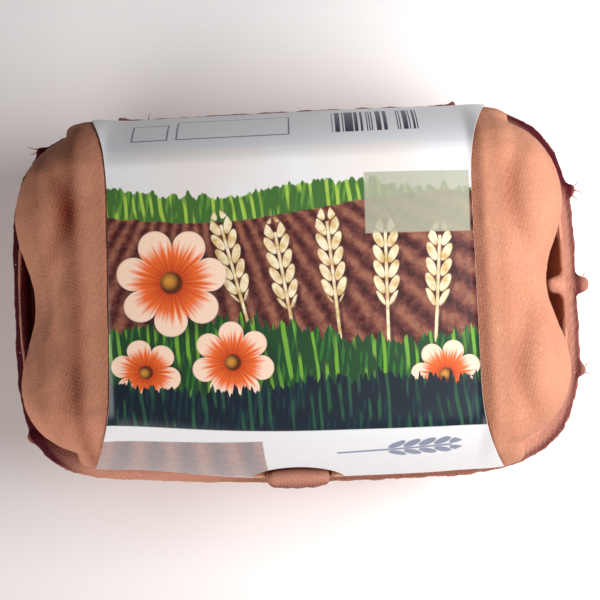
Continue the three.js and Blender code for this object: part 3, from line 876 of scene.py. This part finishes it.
def printed_disc(material, place, centre, half_sizes, blur):
    """Where an oval is printed: 1 inside it and 0 outside, with an edge as soft as the blur."""
    local = add_node(material, "ShaderNodeMapping", {
        "Vector": place,
        "Location": (*centre, 0.0),
        "Scale": (*half_sizes, 1.0),
    }, vector_type="TEXTURE")
    reach = add_node(material, "ShaderNodeVectorMath", {0: local.outputs[0]}, operation="LENGTH")
    edge = blur / min(half_sizes)
    return add_node(material, "ShaderNodeMapRange", {
        "Value": reach.outputs["Value"],
        "From Min": 1 + edge,
        "From Max": 1 - edge,
    }).outputs[0]


def printed_box(material, place, centre, half_sizes, turn=0.0):
    """Where a rectangle is printed, at a turn in degrees: 1 inside it and 0 outside."""
    local = add_node(material, "ShaderNodeMapping", {
        "Vector": place,
        "Location": (*centre, 0.0),
        "Rotation": (0.0, 0.0, math.radians(turn)),
    }, vector_type="TEXTURE")
    away = add_node(material, "ShaderNodeVectorMath", {0: local.outputs[0]}, operation="ABSOLUTE")
    past = add_node(material, "ShaderNodeVectorMath", {
        0: away.outputs[0],
        1: (*half_sizes, 0.0),
    }, operation="SUBTRACT")
    parts = add_node(material, "ShaderNodeSeparateXYZ", {0: past.outputs[0]})
    furthest = add_node(material, "ShaderNodeMath", {
        0: parts.outputs["X"],
        1: parts.outputs["Y"],
    }, operation="MAXIMUM")
    return add_node(material, "ShaderNodeMapRange", {
        "Value": furthest.outputs[0],
        "From Min": BOX_BLUR,
        "From Max": -BOX_BLUR,
    }).outputs[0]


def printed_hill(material, place, height, swing, wave_mm, phase, tips_mm, tip_rate):
    """Where a hill is printed: all that lies below a wavy line with leaning tips along it."""
    parts = add_node(material, "ShaderNodeSeparateXYZ", {0: place})
    along = add_node(material, "ShaderNodeMath", {
        0: parts.outputs["X"],
        1: 2 * math.pi / wave_mm,
        2: phase,
    }, operation="MULTIPLY_ADD")
    wave = add_node(material, "ShaderNodeMath", {0: along.outputs[0]}, operation="SINE")
    line = add_node(material, "ShaderNodeMath", {
        0: wave.outputs[0],
        1: swing,
        2: height,
    }, operation="MULTIPLY_ADD")
    leaning = add_node(material, "ShaderNodeMapping", {
        "Vector": place,
        "Rotation": (0.0, 0.0, TIP_LEAN),
        "Scale": (tip_rate, TIP_STRETCH, 1.0),
        "Location": (phase, 0.0, 0.0),
    })
    tips = add_node(material, "ShaderNodeTexNoise", {
        "Vector": leaning.outputs[0],
        "Scale": 1.0,
        "Detail": 2.0,
    })
    edge = add_node(material, "ShaderNodeMath", {
        0: tips.outputs["Fac"],
        1: 2 * tips_mm,
        2: line.outputs[0],
    }, operation="MULTIPLY_ADD")
    below = add_node(material, "ShaderNodeMath", {
        0: edge.outputs[0],
        1: parts.outputs["Y"],
    }, operation="SUBTRACT")
    return add_node(material, "ShaderNodeMapRange", {
        "Value": below.outputs[0],
        "From Min": -HILL_BLUR,
        "From Max": HILL_BLUR,
    }).outputs[0]


def blades(material, place, lean, spacing_mm, width_share, phase):
    """Where thin curved blades of grass are printed, at a lean from upright in degrees."""
    local = add_node(material, "ShaderNodeMapping", {
        "Vector": place,
        "Rotation": (0.0, 0.0, math.radians(lean)),
        "Scale": (1.0, BLADE_STRETCH, 1.0),
        "Location": (phase * 7, phase * 3, 0.0),
    })
    lines = add_node(material, "ShaderNodeTexWave", {
        "Vector": local.outputs[0],
        "Scale": WAVE_PERIOD / spacing_mm,
        "Distortion": BLADE_BEND,
        "Detail": 1.0,
        "Detail Scale": BLADE_STRETCH * spacing_mm,
        "Phase Offset": phase,
    })
    thin = add_node(material, "ShaderNodeMapRange", {
        "Value": lines.outputs["Fac"],
        "From Min": 1 - width_share,
        "From Max": 1 - 0.5 * width_share,
    })
    patches = add_node(material, "ShaderNodeTexNoise", {
        "Vector": local.outputs[0],
        "Scale": PATCH_SCALE,
        "Detail": 1.0,
    })
    broken = add_node(material, "ShaderNodeMapRange", {
        "Value": patches.outputs["Fac"],
        "From Min": PATCH_EDGE[0],
        "From Max": PATCH_EDGE[1],
    })
    return only_where(material, thin.outputs[0], broken.outputs[0])


def wheat_ear(material, place, foot, turn, length_mm):
    """Where an ear of wheat is printed: a thin stalk and two rows of slanted grains above it."""
    local = add_node(material, "ShaderNodeMapping", {
        "Vector": place,
        "Location": (*foot, 0.0),
        "Rotation": (0.0, 0.0, math.radians(turn)),
    }, vector_type="TEXTURE")
    parts = add_node(material, "ShaderNodeSeparateXYZ", {0: local.outputs[0]})
    aside = add_node(material, "ShaderNodeMath", {0: parts.outputs["Y"]}, operation="ABSOLUTE")
    slanted = add_node(material, "ShaderNodeMath", {
        0: aside.outputs[0],
        1: -GRAIN_SLANT,
        2: parts.outputs["X"],
    }, operation="MULTIPLY_ADD")
    within = add_node(material, "ShaderNodeMath", {
        0: slanted.outputs[0],
        1: GRAIN_PITCH,
    }, operation="FLOORED_MODULO")
    grain = add_node(material, "ShaderNodeCombineXYZ", {
        "X": within.outputs[0],
        "Y": aside.outputs[0],
    })
    grains = printed_disc(
        material,
        grain.outputs[0],
        (GRAIN_PITCH / 2, GRAIN_ASIDE),
        (GRAIN_PITCH * GRAIN_FILL, GRAIN_HALF_WIDTH),
        EAR_BLUR,
    )
    head_half = length_mm * EAR_HEAD_HALF
    head = printed_disc(
        material,
        local.outputs[0],
        (length_mm - head_half, 0.0),
        (head_half, GRAIN_ASIDE * EAR_HEAD_WIDTH),
        EAR_BLUR,
    )
    stalk = printed_box(
        material,
        local.outputs[0],
        (length_mm * STALK_HALF, 0.0),
        (length_mm * STALK_HALF, STALK_HALF_WIDTH),
    )
    return add_node(material, "ShaderNodeMath", {
        0: only_where(material, grains, head),
        1: stalk,
    }, operation="MAXIMUM").outputs[0]


def flower(material, place, ground, centre, radius, petals, turn):
    """Prints one flower over the ground: petals that pale to their tips and a dark heart."""
    local = add_node(material, "ShaderNodeMapping", {
        "Vector": place,
        "Location": (*centre, 0.0),
        "Rotation": (0.0, 0.0, math.radians(turn)),
        "Scale": (radius, radius, 1.0),
    }, vector_type="TEXTURE").outputs[0]
    reach = add_node(material, "ShaderNodeVectorMath", {0: local}, operation="LENGTH")
    reach = reach.outputs["Value"]
    angle = add_node(material, "ShaderNodeTexGradient", {0: local}, gradient_type="RADIAL")
    swing = add_node(material, "ShaderNodeMath", {
        0: angle.outputs["Fac"],
        1: math.pi * petals,
    }, operation="MULTIPLY")
    lobes = add_node(material, "ShaderNodeMath", {0: swing.outputs[0]}, operation="SINE")
    rounded = add_node(material, "ShaderNodeMath", {0: lobes.outputs[0]}, operation="ABSOLUTE")
    full = add_node(material, "ShaderNodeMath", {
        0: rounded.outputs[0],
        1: PETAL_POWER,
    }, operation="POWER")
    tip = add_node(material, "ShaderNodeMath", {
        0: full.outputs[0],
        1: PETAL_DEPTH,
        2: PETAL_ROOT,
    }, operation="MULTIPLY_ADD")
    inside = add_node(material, "ShaderNodeMath", {0: tip.outputs[0], 1: reach}, operation="SUBTRACT")
    petal_mask = add_node(material, "ShaderNodeMapRange", {
        "Value": inside.outputs[0],
        "From Min": -0.01,
        "From Max": 0.02,
    }).outputs[0]
    streaks = add_node(material, "ShaderNodeTexNoise", {
        "W": swing.outputs[0],
        "Scale": 2.6,
        "Detail": 2.0,
    }, noise_dimensions="1D")
    shaded = add_node(material, "ShaderNodeMath", {
        0: streaks.outputs["Fac"],
        1: PETAL_STREAKS,
        2: reach,
    }, operation="MULTIPLY_ADD")
    petal = add_node(material, "ShaderNodeValToRGB", {"Fac": shaded.outputs[0]})
    ramp = petal.color_ramp
    ramp.elements[0].position = 0.4
    ramp.elements[0].color = linear("#B63A12")
    ramp.elements[1].position = 1.0
    ramp.elements[1].color = linear("#F6D6BE")
    middle = ramp.elements.new(0.78)
    middle.color = linear("#EA6A2C")
    ground = over(material, ground, petal_mask, petal.outputs["Color"])
    heart = printed_disc(material, local, (0.0, 0.0), (0.2, 0.2), blur=0.02)
    ground = over(material, ground, heart, linear("#5A2A14"))
    seeds = printed_disc(material, local, (-0.03, 0.04), (0.11, 0.11), blur=0.06)
    return over(material, ground, seeds, linear("#C98A34"))


def meadow(material, place, ground, field, dark, middle, light, phase):
    """Prints grass over the ground inside a field: a dark bed with three layers of blades."""
    grass = dark
    layers = ((24, 1.5, 0.55, middle), (-28, 1.9, 0.4, dark), (-12, 2.3, 0.38, light))
    for index, (lean, spacing_mm, width_share, ink) in enumerate(layers):
        layer = blades(material, place, lean, spacing_mm, width_share, phase + index)
        grass = over(material, grass, layer, ink)
    return over(material, ground, field, grass)


# Coated label paper, offset printed: a farm scene in plain fields of ink, an empty pale box for
# a date, and white strips over both walls. The coat gives it a soft sheen.
label_paper = new_material("coated label paper, offset print")
print_uv = add_node(label_paper, "ShaderNodeUVMap", uv_map=PRINT_MAP)
on_print = add_node(label_paper, "ShaderNodeVectorMath", {
    0: print_uv.outputs[0],
    "Scale": 1 / PRINT_SCALE,
}, operation="SCALE").outputs[0]

sky_noise = add_node(label_paper, "ShaderNodeTexNoise", {
    "Vector": on_print,
    "Scale": 0.05,
    "Detail": 3.0,
})
sky = add_node(label_paper, "ShaderNodeValToRGB", {"Fac": sky_noise.outputs["Fac"]})
sky.color_ramp.elements[0].position = 0.38
sky.color_ramp.elements[0].color = linear("#DFDAD6")
sky.color_ramp.elements[1].position = 0.62
sky.color_ramp.elements[1].color = linear("#DFE2E5")
scene_print = sky.outputs["Color"]

# A far line of trees
far_trees = printed_hill(
    label_paper, on_print,
    height=21.5, swing=1.6, wave_mm=60.0, phase=0.4, tips_mm=3.4, tip_rate=0.5,
)
scene_print = meadow(
    label_paper, on_print, scene_print, far_trees,
    dark=linear("#3F6A2E"), middle=linear("#5F9036"), light=linear("#9CBE4A"), phase=0.7,
)

# Ploughed earth in rows that run together at the far side
earth = printed_hill(
    label_paper, on_print,
    height=19.0, swing=2.6, wave_mm=110.0, phase=-0.5, tips_mm=0.8, tip_rate=0.3,
)
rows_from = add_node(label_paper, "ShaderNodeMapping", {
    "Vector": on_print,
    "Location": (*ROWS_MEET_AT, 0.0),
}, vector_type="TEXTURE").outputs[0]
row_angle = add_node(label_paper, "ShaderNodeTexGradient", {0: rows_from}, gradient_type="RADIAL")
row_swing = add_node(label_paper, "ShaderNodeMath", {
    0: row_angle.outputs["Fac"],
    1: 2 * math.pi * ROWS_AROUND,
}, operation="MULTIPLY")
rows = add_node(label_paper, "ShaderNodeMath", {0: row_swing.outputs[0]}, operation="SINE")
clods = add_node(label_paper, "ShaderNodeTexNoise", {
    "Vector": on_print,
    "Scale": 0.55,
    "Detail": 4.0,
    "Roughness": 0.65,
})
soil_fac = add_node(label_paper, "ShaderNodeMath", {
    0: rows.outputs[0],
    1: ROW_DEPTH,
    2: clods.outputs["Fac"],
}, operation="MULTIPLY_ADD")
soil = add_node(label_paper, "ShaderNodeValToRGB", {"Fac": soil_fac.outputs[0]})
soil.color_ramp.elements[0].position = 0.25
soil.color_ramp.elements[0].color = linear("#40181A")
soil.color_ramp.elements[1].position = 0.78
soil.color_ramp.elements[1].color = linear("#94604A")
soil_middle = soil.color_ramp.elements.new(0.5)
soil_middle.color = linear("#6E3A33")
scene_print = over(label_paper, scene_print, earth, soil.outputs["Color"])

# Cream ears of wheat, straw-coloured in places, each with a soft printed shadow
straw = add_node(label_paper, "ShaderNodeTexNoise", {
    "Vector": on_print,
    "Scale": 0.42,
    "Detail": 3.0,
})
ear_ink = add_node(label_paper, "ShaderNodeValToRGB", {"Fac": straw.outputs["Fac"]})
ear_ink.color_ramp.elements[0].position = 0.32
ear_ink.color_ramp.elements[0].color = linear("#C9A664")
ear_ink.color_ramp.elements[1].position = 0.6
ear_ink.color_ramp.elements[1].color = linear("#F0E4C0")
for foot, turn, length_mm in EARS:
    fallen = (foot[0] + PRINTED_SHADOW[0], foot[1] + PRINTED_SHADOW[1])
    shadow = wheat_ear(label_paper, on_print, fallen, turn, length_mm)
    shadow = only_where(label_paper, shadow, SHADOW_STRENGTH)
    scene_print = over(label_paper, scene_print, shadow, linear("#2C1112"))
    ear = wheat_ear(label_paper, on_print, foot, turn, length_mm)
    scene_print = over(label_paper, scene_print, ear, ear_ink.outputs["Color"])

# The near grass, with flowers in it, and the dark bank along its foot
near_grass = printed_hill(
    label_paper, on_print,
    height=-15.0, swing=3.5, wave_mm=95.0, phase=3.0, tips_mm=5.5, tip_rate=0.7,
)
scene_print = meadow(
    label_paper, on_print, scene_print, near_grass,
    dark=linear("#1D4526"), middle=linear("#2E6B2C"), light=linear("#6EA436"), phase=4.2,
)
for centre, radius, petals, turn in FLOWERS:
    fallen = (centre[0] + PRINTED_SHADOW[0], centre[1] + PRINTED_SHADOW[1])
    shadow = printed_disc(label_paper, on_print, fallen, (0.9 * radius, 0.9 * radius), blur=1.6)
    shadow = only_where(label_paper, shadow, SHADOW_STRENGTH)
    scene_print = over(label_paper, scene_print, shadow, linear("#150D12"))
    scene_print = flower(label_paper, on_print, scene_print, centre, radius, petals, turn)
dark_bank = printed_hill(
    label_paper, on_print,
    height=-27.5, swing=1.5, wave_mm=80.0, phase=0.2, tips_mm=5.0, tip_rate=0.8,
)
scene_print = meadow(
    label_paper, on_print, scene_print, dark_bank,
    dark=linear("#101E2A"), middle=linear("#16303A"), light=linear("#24513A"), phase=8.3,
)

# The empty box for a date, a thin coat of pale ink that the earth shows through
date_box = printed_box(label_paper, on_print, *DATE_BOX, turn=-1.0)
faint_box = only_where(label_paper, date_box, add_node(label_paper, "ShaderNodeMapRange", {
    "Value": clods.outputs["Fac"],
    "To Min": 0.72,
    "To Max": 0.92,
}).outputs[0])
scene_print = over(label_paper, scene_print, faint_box, linear("#A3A691"))

# White strips over both walls, with a field of earth in front and plain bars behind
front_middle = (0.0, FRONT_STRIP_FROM - STRIP_HALF_SIZES[1])
front_strip = printed_box(label_paper, on_print, front_middle, STRIP_HALF_SIZES, turn=-0.8)
strip_ink = linear("#D9DADC")
strip_earth = printed_box(label_paper, on_print, *STRIP_EARTH, turn=2.6)
pale_soil = add_node(label_paper, "ShaderNodeMix", {
    0: STRIP_EARTH_PALED,
    6: soil.outputs["Color"],
    7: strip_ink,
}, data_type="RGBA").outputs[2]
strip_print = over(label_paper, strip_ink, strip_earth, pale_soil)
sprig = wheat_ear(label_paper, on_print, *SPRIG)
strip_print = over(label_paper, strip_print, sprig, linear("#7D8598"))
scene_print = over(label_paper, scene_print, front_strip, strip_print)

back_middle = (0.0, BACK_STRIP_FROM + STRIP_HALF_SIZES[1])
back_strip = printed_box(label_paper, on_print, back_middle, STRIP_HALF_SIZES, turn=-1.2)
scene_print = over(label_paper, scene_print, back_strip, linear("#D8DBDF"))
bar_place = add_node(label_paper, "ShaderNodeSeparateXYZ", {0: on_print})
bar_cells = add_node(label_paper, "ShaderNodeMath", {
    0: bar_place.outputs["X"],
    1: BAR_CELL,
}, operation="SNAP")
bar_draw = add_node(label_paper, "ShaderNodeTexWhiteNoise", {
    "W": bar_cells.outputs[0],
}, noise_dimensions="1D")
bar_ink = add_node(label_paper, "ShaderNodeMath", {
    0: bar_draw.outputs["Value"],
    1: BARS_ABOVE,
}, operation="GREATER_THAN")
bar_box = printed_box(label_paper, on_print, *BARS)
bars = only_where(label_paper, bar_box, bar_ink.outputs[0])
scene_print = over(label_paper, scene_print, bars, linear("#1C2540"))
for centre, half_sizes in EMPTY_BOXES:
    outer = printed_box(label_paper, on_print, centre, half_sizes)
    inner_sizes = tuple(size - OUTLINE for size in half_sizes)
    inner = printed_box(label_paper, on_print, centre, inner_sizes)
    outline = add_node(label_paper, "ShaderNodeMath", {0: outer, 1: inner}, operation="SUBTRACT")
    scene_print = over(label_paper, scene_print, outline.outputs[0], linear("#4A5068"))

label_shader = add_node(label_paper, "ShaderNodeBsdfPrincipled", {
    "Base Color": scene_print,
    "Roughness": 0.42,
    "Specular IOR Level": 0.45,
})
add_node(label_paper, "ShaderNodeOutputMaterial", {"Surface": label_shader.outputs[0]})

# The same paper where it isn't printed: its cut edges and its inner face
bare_paper = new_material("label paper, cut edge")
bare_shader = add_node(bare_paper, "ShaderNodeBsdfPrincipled", {
    "Base Color": linear("#DCDCDA"),
    "Roughness": 0.8,
})
add_node(bare_paper, "ShaderNodeOutputMaterial", {"Surface": bare_shader.outputs[0]})

label_raw.materials.append(label_paper)
label_raw.materials.append(bare_paper)
label_cutter = lock_cutter(LABEL_CUT_MARGIN)
label_mesh = with_modifiers_applied(
    "label_raw",
    label_raw,
    ("SOLIDIFY", {
        "thickness": LABEL_THICKNESS * MM,
        "offset": -1.0,
        "material_offset": 1,
        "material_offset_rim": 1,
    }),
    ("BOOLEAN", {"object": label_cutter, "operation": "DIFFERENCE", "solver": "EXACT"}),
)
bpy.data.objects.remove(label_cutter)
label_mesh.set_sharp_from_angle(angle=math.radians(SHARP_FROM))
show_as("paper_label", label_mesh, "label")
